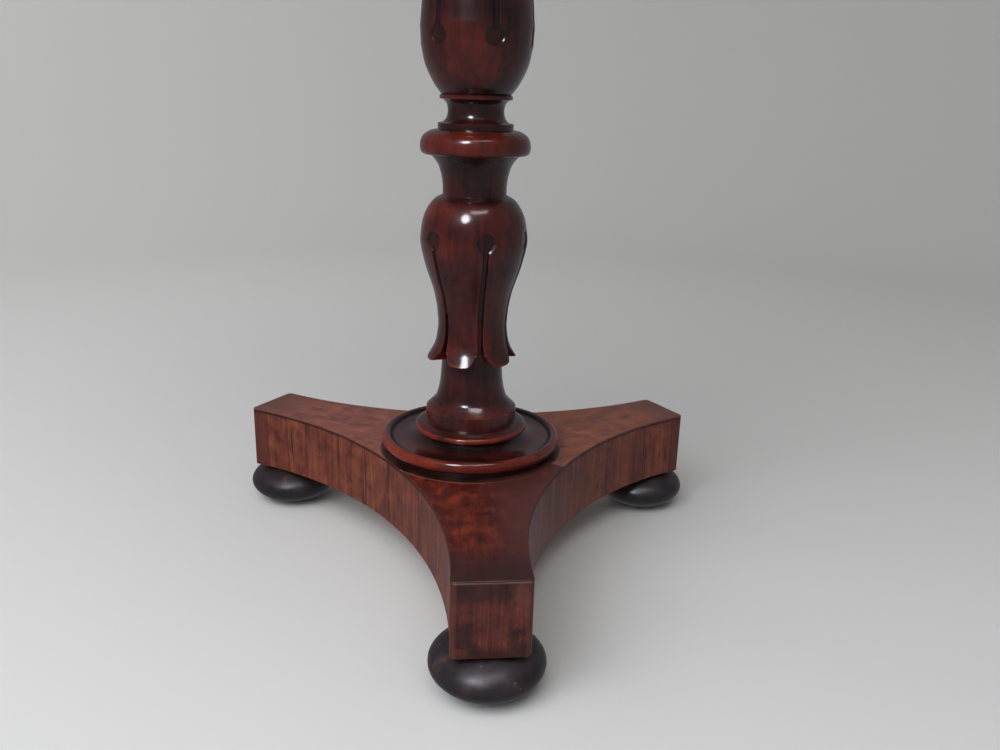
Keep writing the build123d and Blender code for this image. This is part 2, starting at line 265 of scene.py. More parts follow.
def carvedTurning(name, rows, groups, vase):
    # rows of a turning, bottom to top; groups has 2 for the vase, 1 under a petal and 0 for the rest
    rows, groups = np.array(rows), np.array(groups)
    sector = 2 * math.pi / carving["marks"]
    u = np.arange(carving["steps"]) / carving["steps"] - 0.5
    local = sector * (u - carving["crowd"] / (2 * math.pi) * np.sin(2 * math.pi * u))
    turn = np.concatenate([local + k * sector for k in range(carving["marks"])])
    offset = np.tile(local, carving["marks"])
    theta = turn + math.radians(vase["first"])
    radius = np.repeat(rows[:, :1], len(theta), 1)
    height = np.repeat(rows[:, 1:], len(theta), 1)
    onVase, underPetal = groups == 2, groups == 1
    vaseRows, petalRows = onVase[:, None], underPetal[:, None]
    sense = vase["toPetals"]
    edge = 0 if sense < 0 else -1                    # the vase's row at the petals' edge, and one further in
    inner = 3 if sense < 0 else -4
    order = np.argsort(rows[onVase, 1])
    vaseZ, vaseR = rows[onVase, 1][order], rows[onVase, 0][order]

    # petals: the rows near the edge bend to the cut, and go on at the vase's slope where they pass its end
    past = (height - vase["edgeZ"]) * sense          # mm beyond the petals' plain edge
    fade = 1 - smoothStep(0, petal["reach"], np.abs(past))
    fade[underPetal] = 1
    height = height + sense * petalCut(offset, sector)[None, :] * fade
    slope = (vaseR[edge] - vaseR[inner]) / (vaseZ[edge] - vaseZ[inner])
    beyond = (height - vaseZ[edge]) * sense > 0
    goneOn = vaseR[edge] + slope * (height - vaseZ[edge])
    bent = np.where(beyond, goneOn, np.interp(height, vaseZ, vaseR))
    radius[onVase] = bent[onVase]
    lipGain = bent[onVase][edge] - rows[onVase, 0][edge]
    share = (rows[underPetal, 0] - rows[underPetal, 0].min()) / np.ptp(rows[underPetal, 0])
    radius[underPetal] = rows[underPetal, :1] + share[:, None] * lipGain[None, :]

    # grooves, wider and deeper where the petals flare
    across = np.abs(offset)[None, :] * radius
    towards = (height - vase["markZ"]) * sense       # mm from the mark towards the petals
    fromEdge = -(height - vase["edgeZ"]) * sense
    half = (carving["grooveHalf"]
            + carving["flareGain"] * (1 - smoothStep(0, carving["flareReach"], fromEdge)))
    soft = carving["grooveSoft"]
    groove = (1 - smoothStep(half - soft, half + soft, across)) * smoothStep(2.0, 4.0, towards)
    toFloor = np.maximum(carving["grooveDepth"], radius - vase["floor"]) * (fromEdge < carving["deepReach"])
    carved = groove * np.maximum(toFloor, carving["grooveDepth"]) * vaseRows
    carved += groove * np.maximum(radius - vase["floor"] + 0.3, 0) * petalRows

    # round marks, drawn to a point where the groove leaves them
    pointed = 1 + 0.45 * np.clip(towards / carving["markRadius"], 0, 1)
    fromMark = np.hypot(across * pointed, height - vase["markZ"]) / carving["markRadius"]
    rim = smoothStep(0.74, 1.0, fromMark)
    bowl = carving["markDepth"] * (1 - rim) * (0.8 + 0.2 * fromMark ** 2)
    radius = radius - np.maximum(carved, bowl * vaseRows)

    # what is cut in is darkened, partly as dark polish gathered in the cuts and partly as painted shade on
    # the groove and mark walls; the outline's hollows get painted shade; edges and swellings are rubbed red
    swell = np.repeat(swellOfOutline(rows)[:, None], len(theta), 1)
    walls = 4 * groove * (1 - groove)
    dark = np.clip(0.6 * groove + 0.6 * walls, 0, 1) * (petalRows | vaseRows)
    dark = np.maximum(dark, (0.5 * (1 - rim) + 1.5 * rim * (1 - rim)) * vaseRows)
    lip = (1 - smoothStep(0.5, 1.8, np.abs(past))) * (petalRows | vaseRows) * (1 - groove)
    handled = np.where(vaseRows, smoothStep(5, 16, fromEdge), vase["plainRub"]) * ~petalRows
    worn = np.clip(np.maximum(lip, vase["rubbed"] * swell * (1 - dark) * handled), 0, 1)
    # painted shade where the outline falls inside its running mean, as in the neck and the bell
    dark = np.clip(np.maximum(dark, -0.35 * swell), 0, 1)
    return gridPiece(name, radius, theta, height, {"recess": dark, "worn": worn})


def stackRuns(runs):
    # joins outline runs, leaving out repeated points
    rows, groups = [], []
    for group, run in runs:
        for point in run:
            if rows and np.linalg.norm(point - rows[-1]) < 1e-6:
                continue
            rows.append(point)
            groups.append(group)
    return rows, groups


# outlines of the pillar's two lengths, radius by height in mm, as (group, points)
lowerRuns = [
    (0, straightRun([(36.5, 115.8), (36.5, 126.3)], 3.0)),
    (0, smoothRun([(36.5, 126.3), (35.4, 127.3), (31.0, 131.8), (28.4, 135.6), (26.2, 143.5),
                   (25.1, 151.5)], 0.9)),
    (0, smoothRun([(25.1, 151.5), (24.5, 160.0), (24.2, 168.0), (24.1, 171.2)], 0.9)),
    (1, straightRun([(24.1, 171.2), (28.0, 171.3), (32.2, 171.5)], 1.0)),
    (1, smoothRun([(32.2, 171.5), (33.0, 171.7), (33.4, 172.3)], 0.35)),
    (2, smoothRun([(33.4, 172.3), (31.1, 176.4), (29.2, 181.8), (27.8, 189.6), (27.4, 196.6),
                   (28.3, 209.0)], 0.62)),
    (2, smoothRun([(28.3, 209.0), (31.2, 223.0), (36.8, 239.6), (40.6, 254.0)], 0.9)),
    (2, smoothRun([(40.6, 254.0), (41.6, 263.0), (40.0, 276.0), (36.9, 284.8), (31.5, 292.5),
                   (24.8, 296.6)], 0.6)),
]
upperRuns = [
    (0, straightRun([(24.5, 296.6), (24.5, 303.5)], 1.5)),
    (0, smoothRun([(24.5, 303.5), (25.6, 311.2), (28.4, 319.4), (34.0, 326.6)], 1.2)),
    (0, straightRun([(34.0, 326.6), (38.9, 326.6)], 2.5)),
    (0, smoothRun([(38.9, 326.6), (41.0, 328.2), (41.8, 332.2), (41.0, 337.4), (38.3, 341.2),
                   (34.0, 343.8)], 0.9)),
    (0, straightRun([(34.0, 343.8), (28.5, 345.0), (28.5, 349.2), (24.6, 350.0)], 1.6)),
    (0, smoothRun([(24.6, 350.0), (22.0, 353.2), (21.1, 358.2), (22.0, 363.0), (24.6, 365.9)], 1.0)),
    (0, straightRun([(24.6, 365.9), (27.2, 366.4), (27.2, 369.0), (26.0, 369.6)], 1.2)),
    (2, smoothRun([(26.0, 369.6), (31.9, 377.6), (38.0, 390.2), (41.0, 404.0)], 1.0)),
    (2, smoothRun([(41.0, 404.0), (41.6, 417.0)], 0.7)),
    (2, smoothRun([(41.6, 417.0), (38.6, 448.0), (31.0, 488.0), (27.4, 522.0), (30.0, 547.0)], 1.5)),
    (2, smoothRun([(30.0, 547.0), (33.2, 557.7)], 0.8)),
    (1, smoothRun([(33.2, 557.7), (32.9, 558.3), (32.2, 558.5)], 0.35)),
    (1, straightRun([(32.2, 558.5), (28.0, 558.7), (25.0, 558.8)], 1.0)),
    (0, smoothRun([(25.0, 558.8), (23.7, 600.0), (26.6, 645.0), (34.0, 667.0)], 2.4)),
    (0, straightRun([(34.0, 667.0), (34.0, 673.0)], 2.0)),
]
lowerColumn = carvedTurning("lower_pillar", *stackRuns(lowerRuns), lowerVase)
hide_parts("lower_column")
upperColumn = carvedTurning("upper_pillar", *stackRuns(upperRuns), upperVase)
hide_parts("upper_column")
print("pillar:", len(lowerColumn.data.polygons), len(upperColumn.data.polygons), "faces")


def spunTurning(name, outline, steps):
    # an outline in mm, radius by height, spun about the pillar's axis; closed outlines make rings
    bpy.ops.mesh.primitive_plane_add(size=1)
    piece = bpy.context.active_object
    piece.name = name
    pickOnly(piece)
    bpy.ops.object.mode_set(mode="EDIT")
    bpy.ops.mesh.select_all(action="SELECT")
    bpy.ops.mesh.merge(type="CENTER")
    first = Vector((outline[0][0] * mm, 0, outline[0][1] * mm))
    bpy.ops.transform.translate(value=first)
    here = first
    for radius, height in outline[1:]:
        there = Vector((radius * mm, 0, height * mm))
        bpy.ops.mesh.extrude_region_move(TRANSFORM_OT_translate={"value": there - here})
        here = there
    bpy.ops.mesh.select_all(action="SELECT")
    bpy.ops.mesh.spin(steps=steps, angle=2 * math.pi, center=(0, 0, 0), axis=(0, 0, 1))
    bpy.ops.mesh.select_all(action="SELECT")
    bpy.ops.mesh.remove_doubles(threshold=0.01 * mm)
    bpy.ops.mesh.normals_make_consistent(inside=False)
    bpy.ops.object.mode_set(mode="OBJECT")
    return piece


def wearTurning(piece, wornAt, darkAt):
    # rules from radius and height in mm to how rubbed the polish is, and to how dark it is made, by dark
    # polish and painted shade together
    places = np.empty(3 * len(piece.data.vertices))
    piece.data.vertices.foreach_get("co", places)
    x, y, z = places.reshape(-1, 3).T / mm
    for label, rule in (("worn", wornAt), ("recess", darkAt)):
        layer = piece.data.attributes.new(label, "FLOAT", "POINT")
        layer.data.foreach_set("value", (rule(np.hypot(x, y), z) + 0 * x).astype(np.float32))


dishOutline = [tuple(p) for p in (
    straightRun([(22.0, 90.0), (67.2, 90.0), (67.2, 94.3), (68.6, 94.5)], 30)
    + smoothRun([(68.6, 94.5), (71.0, 95.0), (72.6, 97.4), (72.9, 100.2), (71.8, 102.8), (69.8, 104.0),
                 (67.9, 103.8), (66.6, 102.9)], 0.7)[1:]
    + smoothRun([(66.6, 102.9), (66.2, 102.0), (63.0, 101.4), (57.0, 101.0), (52.0, 101.3), (47.0, 102.9),
                 (43.4, 105.2), (41.6, 107.5)], 1.0)[1:]
    + straightRun([(41.6, 107.5), (22.0, 107.6), (22.0, 90.0)], 30)[1:])]
dish = spunTurning("dished_collar", dishOutline, 192)
smoothByAngle(dish, 40)
wearTurning(
    dish,
    lambda r, z: ((0.3 + 0.7 * smoothStep(69.0, 71.5, r)) * smoothStep(66.0, 67.5, r)
                  * smoothStep(95.0, 97.0, z)),
    # painted shade in the dark line where the rim's bead meets the dish floor, and on the floor under the
    # ring's overhanging lip
    lambda r, z: np.maximum(smoothStep(61.0, 64.5, r) * (1 - smoothStep(66.3, 67.0, r)),
                            0.75 * (1 - smoothStep(44.0, 54.0, r))))
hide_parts("dish_collar")
ringOutline = [tuple(p) for p in (
    smoothRun([(41.0, 107.6), (44.0, 107.7), (45.3, 108.7), (45.6, 110.3), (45.0, 111.9),
               (43.6, 112.8)], 0.5)
    + straightRun([(43.6, 112.8), (41.6, 113.5), (41.5, 114.1), (40.0, 114.6), (39.9, 115.2),
                   (38.6, 115.5), (37.2, 115.9), (22.0, 115.9), (22.0, 107.6), (41.0, 107.6)], 30)[1:])]
ring = spunTurning("ring_under_pillar", ringOutline, 160)
smoothByAngle(ring, 40)
# painted shade on the ring's inner steps, next to the foot of the pillar's drum
wearTurning(ring, lambda r, z: smoothStep(43.6, 45.0, r),
            lambda r, z: 0.45 * (1 - smoothStep(42.5, 44.0, r)))
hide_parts("ring_collar")

footSize = {
    "steps": 96,
    "flat": 12.0,           # mm: radius of the flats above and below
    "bulge": 18.4,          # half height of the ellipse that the foot is turned to
    "sweep": 73.2,          # degrees each way round the ellipse
    "points": 24,
}
feet = []
for arm in ("front", "left", "right"):
    low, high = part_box("foot_" + arm)
    centre = (low + high) / 2
    wide = (high.x - low.x) / 2 / mm
    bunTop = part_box("platform_core")[0].z / mm
    outline = [(0.0, 0.0), (footSize["flat"], 0.0)]
    for k in range(1, footSize["points"]):
        angle = math.radians(footSize["sweep"] * (2 * k / footSize["points"] - 1))
        outline.append((wide * math.cos(angle), bunTop / 2 + footSize["bulge"] * math.sin(angle)))
    outline += [(footSize["flat"], bunTop), (0.0, bunTop)]
    foot = spunTurning("bun_foot_" + arm, outline, footSize["steps"])
    foot.data.transform(Matrix.Translation((centre.x, centre.y, 0)))
    smoothByAngle(foot, 50)
    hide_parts("foot_" + arm)
    feet.append(foot)
print("turnings done")


armDirection = {"front": -87.4, "right": 28.2, "left": 149.1}  # degrees from +X
rubbedCorner = {"radius": 4.0 * mm, "steps": 6, "past": 1.0 * mm, "height": 90 * mm}


def cornerCutters(arm):
    # two prisms that round the upright corners of an arm's end, where it has been knocked and rubbed
    turn = Matrix.Rotation(math.radians(armDirection[arm]), 4, "Z")
    places = [turn.inverted() @ vertex.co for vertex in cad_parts["end_veneer_" + arm].data.vertices]
    end = max(place.x for place in places)
    radius, past = rubbedCorner["radius"], rubbedCorner["past"]
    cutters = []
    for side in (-1, 1):
        half = max(side * place.y for place in places)
        plan = [(end + past, half - radius), (end + past, half + past), (end - radius, half + past)]
        for k in range(rubbedCorner["steps"] + 1):
            a = math.pi / 2 * (1 - k / rubbedCorner["steps"])
            plan.append((end - radius + radius * math.cos(a), half - radius + radius * math.sin(a)))
        count = len(plan)
        points = [turn @ Vector((x, side * y, z)) for z in (0, rubbedCorner["height"]) for x, y in plan]
        faces = [list(range(count)), list(range(count, 2 * count))]
        faces += [[k, (k + 1) % count, (k + 1) % count + count, k + count] for k in range(count)]
        mesh = bpy.data.meshes.new("cutter")
        mesh.from_pydata(points, [], faces)
        cutter = bpy.data.objects.new("cutter", mesh)
        bpy.context.scene.collection.objects.link(cutter)
        pickOnly(cutter)
        bpy.ops.object.mode_set(mode="EDIT")
        bpy.ops.mesh.select_all(action="SELECT")
        bpy.ops.mesh.normals_make_consistent(inside=False)
        bpy.ops.object.mode_set(mode="OBJECT")
        cutters.append(cutter)
    return cutters


veneers = {}
cutters = {arm: cornerCutters(arm) for arm in ("front", "left", "right")}
for arm in ("front", "left", "right"):
    veneers["top", arm] = copyOfNode("top_veneer_" + arm, "veneer_on_arm_" + arm, 0.6 * mm,
        cutters=cutters[arm])
    veneers["end", arm] = copyOfNode("end_veneer_" + arm, "veneer_on_end_" + arm, 0.6 * mm,
        cutters=cutters[arm])
for side in ("left", "right", "back"):
    veneers["side", side] = copyOfNode("side_veneer_" + side, "veneer_on_side_" + side, 0.35 * mm,
        cutters=sum(cutters.values(), []))
for cutter in sum(cutters.values(), []):
    bpy.data.objects.remove(cutter)
core = copyOfNode("platform_core", "plinth_core", 0.3 * mm)
boards = {place: copyOfNode("top_board_" + place, "board_" + place, 0.25 * mm, flatAngle=0.2)
          for place in ("front", "middle", "rear")}
block = copyOfNode("pivot_block", "tilt_block", 0.8 * mm)
bearers = {side: copyOfNode("bearer_" + side, "bearer_under_top_" + side, 0.8 * mm)
           for side in ("left", "right")}
catch = {node: copyOfNode(node, "brass_" + node, 0.3 * mm)
         for node in ("catch_body", "catch_bolt", "striker_plate")}
print("plinth, top and fittings done")


def sharpEdges(tree, reach, breakUp):
    # 1 along worn arrises, where the normal turns within the reach, broken up by a noise
    rounded = addNode(tree, "ShaderNodeBevel", {"samples": 6}, {"Radius": reach})
    flat = addNode(tree, "ShaderNodeNewGeometry")
    turned = addNode(tree, "ShaderNodeVectorMath", {"operation": "DOT_PRODUCT"},
                     {0: rounded, 1: flat.outputs["Normal"]}).outputs["Value"]
    sharp = addNode(tree, "ShaderNodeMapRange", None, {"Value": turned, "From Min": 0.995, "From Max": 0.9})
    broken = addNode(tree, "ShaderNodeMapRange", None, {"Value": breakUp, "From Min": 0.4, "From Max": 0.6,
        "To Min": 0.25})
    return addNode(tree, "ShaderNodeMath", {"operation": "MULTIPLY"}, {0: sharp, 1: broken})


def polishedMahogany(name, stops, gloss, stretch):
    # French-polished mahogany: deep red-brown under a clear gloss, red where it is rubbed, black in
    # the hollows from painted shade and dark polish
    material, tree, shader = newMaterial(name, {"Roughness": 0.4, "IOR": 1.5, "Specular IOR Level": 0.1,
        "Coat Roughness": gloss, "Coat IOR": 1.5})
    place = addNode(tree, "ShaderNodeTexCoord").outputs["Object"]
    along = addNode(tree, "ShaderNodeMapping", None, {"Vector": place, "Scale": stretch})
    figure = addNode(tree, "ShaderNodeTexNoise", None, {"Vector": along, "Scale": 1 / (5 * mm),
        "Detail": 5.0, "Roughness": 0.6, "Distortion": 0.2})
    pores = addNode(tree, "ShaderNodeTexNoise", None, {"Vector": along, "Scale": 1 / (1.2 * mm),
        "Detail": 2.0, "Roughness": 0.6})
    cloud = addNode(tree, "ShaderNodeTexNoise", None, {"Vector": place, "Scale": 1 / (38 * mm),
        "Detail": 4.0, "Roughness": 0.55})
    blended = addNode(tree, "ShaderNodeMix", {"data_type": "FLOAT"}, {"Factor": 0.6, "A": figure,
        "B": cloud})
    wood = addNode(tree, "ShaderNodeValToRGB", {"stops": stops}, {"Fac": blended})
    openPores = addNode(tree, "ShaderNodeMapRange", None, {"Value": pores, "From Min": 0.52,
        "From Max": 0.72, "To Max": 0.35})
    wood = addNode(tree, "ShaderNodeMix", {"data_type": "RGBA"}, {"Factor": openPores, "A": wood,
        "B": "#120606"})
    worn = addNode(tree, "ShaderNodeAttribute", {"attribute_name": "worn"}).outputs["Fac"]
    arris = sharpEdges(tree, 1.3 * mm, cloud)
    rubbed = addNode(tree, "ShaderNodeMath", {"operation": "MAXIMUM"}, {0: worn, 1: arris})
    patchy = addNode(tree, "ShaderNodeMapRange", None, {"Value": blended, "From Min": 0.35,
        "From Max": 0.62, "To Min": 0.15, "To Max": 0.85})
    rubbed = addNode(tree, "ShaderNodeMath", {"operation": "MULTIPLY"}, {0: rubbed, 1: patchy})
    wood = addNode(tree, "ShaderNodeMix", {"data_type": "RGBA"}, {"Factor": rubbed, "A": wood,
        "B": "#7c2711"})
    # painted shade: ambient occlusion darkens the wood where other surfaces crowd it, standing also for
    # grime
    closed = addNode(tree, "ShaderNodeAmbientOcclusion", {"samples": 6}, {"Distance": 7 * mm}).outputs["AO"]
    shadeAndGrime = addNode(tree, "ShaderNodeMapRange", None, {"Value": closed, "From Min": 0.72, "From Max": 0.25,
        "To Max": 0.8})
    wood = addNode(tree, "ShaderNodeMix", {"data_type": "RGBA"}, {"Factor": shadeAndGrime, "A": wood,
        "B": "#0c0606"})
    # the carved recesses and the outline's hollows: dark polish and painted shade
    recess = addNode(tree, "ShaderNodeAttribute", {"attribute_name": "recess"}).outputs["Fac"]
    wood = addNode(tree, "ShaderNodeMix", {"data_type": "RGBA"}, {"Factor": recess, "A": wood,
        "B": "#0d0707"})
    ripple = addNode(tree, "ShaderNodeTexNoise", None, {"Vector": place, "Scale": 1 / (5 * mm),
        "Detail": 5.0, "Roughness": 0.6})
    poreBump = addNode(tree, "ShaderNodeBump", None, {"Height": pores, "Strength": 0.1,
        "Distance": 0.12 * mm})
    coatBump = addNode(tree, "ShaderNodeBump", None, {"Height": ripple, "Strength": 0.16,
        "Distance": 0.5 * mm})
    coat = addNode(tree, "ShaderNodeMapRange", None, {"Value": recess, "From Min": 0.7, "From Max": 1.0,
        "To Min": 1.0, "To Max": 0.25})
    tree.links.new(wood.outputs[2], shader.inputs["Base Color"])
    tree.links.new(poreBump.outputs[0], shader.inputs["Normal"])
    tree.links.new(coatBump.outputs[0], shader.inputs["Coat Normal"])
    tree.links.new(coat.outputs[0], shader.inputs["Coat Weight"])
    return material


def figuredBoard(name, light, dark, shift):
    # a French-polished mahogany board: long flame figure and short dark pores under a gloss, bare below
    material, tree, shader = newMaterial(name, {"Roughness": 0.4, "IOR": 1.5, "Specular IOR Level": 0.1,
        "Coat Roughness": 0.1, "Coat IOR": 1.5})
    place = addNode(tree, "ShaderNodeTexCoord").outputs["Object"]
    along = addNode(tree, "ShaderNodeMapping", None, {"Vector": place, "Location": (shift, shift, 0),
        "Scale": (0.1, 1, 1)})
    slow = addNode(tree, "ShaderNodeTexNoise", None, {"Vector": along, "Scale": 1 / (75 * mm),
        "Detail": 2.0, "Roughness": 0.4, "Distortion": 0.2})
    rings = addNode(tree, "ShaderNodeMath", {"operation": "MULTIPLY"}, {0: slow, 1: 16.0})
    rings = addNode(tree, "ShaderNodeMath", {"operation": "PINGPONG"}, {0: rings, 1: 1.0})
    streaks = addNode(tree, "ShaderNodeTexNoise", None, {"Vector": along, "Scale": 1 / (4 * mm),
        "Detail": 5.0, "Roughness": 0.6})
    figure = addNode(tree, "ShaderNodeMix", {"data_type": "FLOAT"}, {"Factor": 0.6, "A": rings,
        "B": streaks})
    wood = addNode(tree, "ShaderNodeValToRGB", {"stops": [(0.25, dark), (0.72, light)]}, {"Fac": figure})
    lengthened = addNode(tree, "ShaderNodeMapping", None, {"Vector": place, "Scale": (0.14, 1, 1)})
    pores = addNode(tree, "ShaderNodeTexNoise", None, {"Vector": lengthened, "Scale": 1 / (1.1 * mm),
        "Detail": 1.0})
    pore = addNode(tree, "ShaderNodeMapRange", None, {"Value": pores, "From Min": 0.6, "From Max": 0.7,
        "To Max": 0.55})
    wood = addNode(tree, "ShaderNodeMix", {"data_type": "RGBA"}, {"Factor": pore, "A": wood,
        "B": "#160706"})
    height = addNode(tree, "ShaderNodeSeparateXYZ", None, {"Vector": place}).outputs["Z"]
    polished = addNode(tree, "ShaderNodeMapRange", None, {"Value": height,
        "From Min": boardUnder + 0.4 * mm, "From Max": boardUnder + 2.0 * mm})
    arris = sharpEdges(tree, 1.6 * mm, streaks)
    wood = addNode(tree, "ShaderNodeMix", {"data_type": "RGBA"}, {"Factor": arris, "A": wood,
        "B": "#6a2413"})
    bump = addNode(tree, "ShaderNodeBump", None, {"Height": pores, "Strength": 0.12, "Distance": 0.12 * mm})
    tree.links.new(polished.outputs[0], shader.inputs["Coat Weight"])
    tree.links.new(wood.outputs[2], shader.inputs["Base Color"])
    tree.links.new(bump.outputs[0], shader.inputs["Normal"])
    return material


def agedVeneer(name, direction, stops, upright, mottled, cracking, marks):
    # old shellac on mahogany veneer: satin, with dark grain lines, shrinkage cracks and rubbed edges
    material, tree, shader = newMaterial(name, {"IOR": 1.5, "Specular IOR Level": 0.5})
    place = addNode(tree, "ShaderNodeTexCoord").outputs["Object"]
    turned = addNode(tree, "ShaderNodeMapping", None, {"Vector": place,
        "Rotation": (0, 0, math.radians(-direction))})
    along = addNode(tree, "ShaderNodeMapping", None, {"Vector": turned,
        "Scale": (1, 1, 0.05) if upright else (0.06, 1, 1)})
    grain = addNode(tree, "ShaderNodeTexNoise", None, {"Vector": along, "Scale": 1 / (1.7 * mm),
        "Detail": 4.0, "Roughness": 0.6, "Distortion": 0.1})
    band = addNode(tree, "ShaderNodeTexNoise", None, {"Vector": along, "Scale": 1 / (9 * mm), "Detail": 3.0,
        "Roughness": 0.55, "Distortion": 0.3})
    blotch = addNode(tree, "ShaderNodeTexNoise", None, {"Vector": turned, "Scale": 1 / (13 * mm),
        "Detail": 6.0, "Roughness": 0.65})
    figure = addNode(tree, "ShaderNodeMix", {"data_type": "FLOAT"}, {"Factor": 0.5, "A": grain, "B": band})
    blended = addNode(tree, "ShaderNodeMix", {"data_type": "FLOAT"}, {"Factor": mottled, "A": figure,
        "B": blotch})
    wood = addNode(tree, "ShaderNodeValToRGB", {"stops": stops}, {"Fac": blended})
    wood = marks(tree, turned, blotch, wood)
    # a crack runs where a slow noise crosses its middle value, here and there
    slow = addNode(tree, "ShaderNodeTexNoise", None, {"Vector": along, "Scale": 1 / (15 * mm),
        "Detail": 3.0, "Roughness": 0.5, "Distortion": 0.25})
    offMiddle = addNode(tree, "ShaderNodeMath", {"operation": "SUBTRACT"}, {0: slow, 1: 0.5})
    distance = addNode(tree, "ShaderNodeMath", {"operation": "ABSOLUTE"}, {0: offMiddle})
    line = addNode(tree, "ShaderNodeMapRange", None, {"Value": distance, "From Min": 0.018,
        "From Max": 0.006})
    where = addNode(tree, "ShaderNodeMapRange", None, {"Value": figure, "From Min": 0.42, "From Max": 0.5,
        "To Max": cracking})
    crack = addNode(tree, "ShaderNodeMath", {"operation": "MULTIPLY"}, {0: line, 1: where})
    wood = addNode(tree, "ShaderNodeMix", {"data_type": "RGBA"}, {"Factor": crack, "A": wood,
        "B": "#1c0d0b"})
    arris = sharpEdges(tree, 1.8 * mm, blotch)
    wood = addNode(tree, "ShaderNodeMix", {"data_type": "RGBA"}, {"Factor": arris, "A": wood,
        "B": "#4c2318"})
    rough = addNode(tree, "ShaderNodeMapRange", None, {"Value": blotch, "From Min": 0.3, "From Max": 0.7,
        "To Min": 0.34, "To Max": 0.54})
    relief = addNode(tree, "ShaderNodeMath", {"operation": "SUBTRACT"}, {0: grain, 1: crack})
    bump = addNode(tree, "ShaderNodeBump", None, {"Height": relief, "Strength": 0.4, "Distance": 0.22 * mm})
    tree.links.new(wood.outputs[2], shader.inputs["Base Color"])
    tree.links.new(rough.outputs[0], shader.inputs["Roughness"])
    tree.links.new(bump.outputs[0], shader.inputs["Normal"])
    return material


def fromPillarAxis(tree, turned):
    # the distance from the pillar's axis, in plan
    plan = addNode(tree, "ShaderNodeVectorMath", {"operation": "MULTIPLY"}, {0: turned, 1: (1, 1, 0)})
    return addNode(tree, "ShaderNodeVectorMath", {"operation": "LENGTH"}, {0: plan}).outputs["Value"]


def collarMark(tree, turned, blotch, wood):
    # a painted shadow close round the dished collar, a pale line where the cloth stops, and a greyed end to
    # the arm
    outward = fromPillarAxis(tree, turned)
    nearCollar = addNode(tree, "ShaderNodeMapRange", None, {"Value": outward, "From Min": 70 * mm,
        "From Max": 78 * mm})
    ringStops = [(0.0, "#000000"), (0.52, "#000000"), (0.6, "#ffffff"), (0.7, "#ffffff"), (0.8, "#000000")]
    rings = addNode(tree, "ShaderNodeValToRGB", {"stops": ringStops}, {"Fac": nearCollar})
    # painted shadow of the dished collar's rim on the veneer
    darkBand = addNode(tree, "ShaderNodeMapRange", None, {"Value": outward, "From Min": 75.5 * mm,
        "From Max": 73 * mm, "To Max": 0.85})
    wood = addNode(tree, "ShaderNodeMix", {"data_type": "RGBA"}, {"Factor": darkBand, "A": wood,
        "B": "#160b0a"})
    pale = addNode(tree, "ShaderNodeMath", {"operation": "MULTIPLY"}, {0: rings, 1: 0.5})
    wood = addNode(tree, "ShaderNodeMix", {"data_type": "RGBA"}, {"Factor": pale, "A": wood,
        "B": "#7d5c53"})
    reach = addNode(tree, "ShaderNodeMath", {"operation": "MULTIPLY_ADD"}, {0: blotch, 1: 60 * mm,
        2: outward})
    greyed = addNode(tree, "ShaderNodeMapRange", None, {"Value": reach, "From Min": 205 * mm,
        "From Max": 238 * mm, "To Max": 0.55})
    return addNode(tree, "ShaderNodeMix", {"data_type": "RGBA"}, {"Factor": greyed, "A": wood,
        "B": "#46332f"})


def frontArmMarks(tree, turned, blotch, wood):
    # the front arm's top: purple-brown to the right, darkened before the end
    wood = collarMark(tree, turned, blotch, wood)
    axes = addNode(tree, "ShaderNodeSeparateXYZ", None, {"Vector": turned})
    spread = addNode(tree, "ShaderNodeMath", {"operation": "MULTIPLY_ADD"},
                     {0: blotch, 1: 30 * mm, 2: axes.outputs["Y"]})
    right = addNode(tree, "ShaderNodeMapRange", None, {"Value": spread, "From Min": 12 * mm,
        "From Max": 34 * mm, "To Max": 0.75})
    wood = addNode(tree, "ShaderNodeMix", {"data_type": "RGBA"}, {"Factor": right, "A": wood,
        "B": "#43231f"})
    reach = addNode(tree, "ShaderNodeMath", {"operation": "MULTIPLY_ADD"},
                    {0: blotch, 1: 40 * mm, 2: axes.outputs["X"]})
    end = addNode(tree, "ShaderNodeMapRange", None, {"Value": reach, "From Min": 190 * mm,
        "From Max": 222 * mm, "To Max": 0.75})
    return addNode(tree, "ShaderNodeMix", {"data_type": "RGBA"}, {"Factor": end, "A": wood, "B": "#231110"})


def sideMarks(tree, turned, blotch, wood):
    # a plain darker strip at each arm's end, and a dark line under the top veneer
    outward = fromPillarAxis(tree, turned)
    strip = addNode(tree, "ShaderNodeMapRange", None, {"Value": outward, "From Min": 200 * mm,
        "From Max": 203 * mm, "To Max": 0.8})
    wood = addNode(tree, "ShaderNodeMix", {"data_type": "RGBA"}, {"Factor": strip, "A": wood,
        "B": "#54241b"})
    fromJoint = addNode(tree, "ShaderNodeMath", {"operation": "COMPARE"}, {0: outward, 1: 201 * mm,
        2: 0.6 * mm})
    joint = addNode(tree, "ShaderNodeMath", {"operation": "MULTIPLY"}, {0: fromJoint, 1: 0.6})
    wood = addNode(tree, "ShaderNodeMix", {"data_type": "RGBA"}, {"Factor": joint, "A": wood,
        "B": "#2a120e"})
    height = addNode(tree, "ShaderNodeSeparateXYZ", None, {"Vector": turned}).outputs["Z"]
    line = addNode(tree, "ShaderNodeMapRange", None, {"Value": height, "From Min": plinthTop - 2.4 * mm,
        "From Max": plinthTop - 1.2 * mm, "To Max": 0.85})
    return addNode(tree, "ShaderNodeMix", {"data_type": "RGBA"}, {"Factor": line, "A": wood,
        "B": "#1c0d0b"})


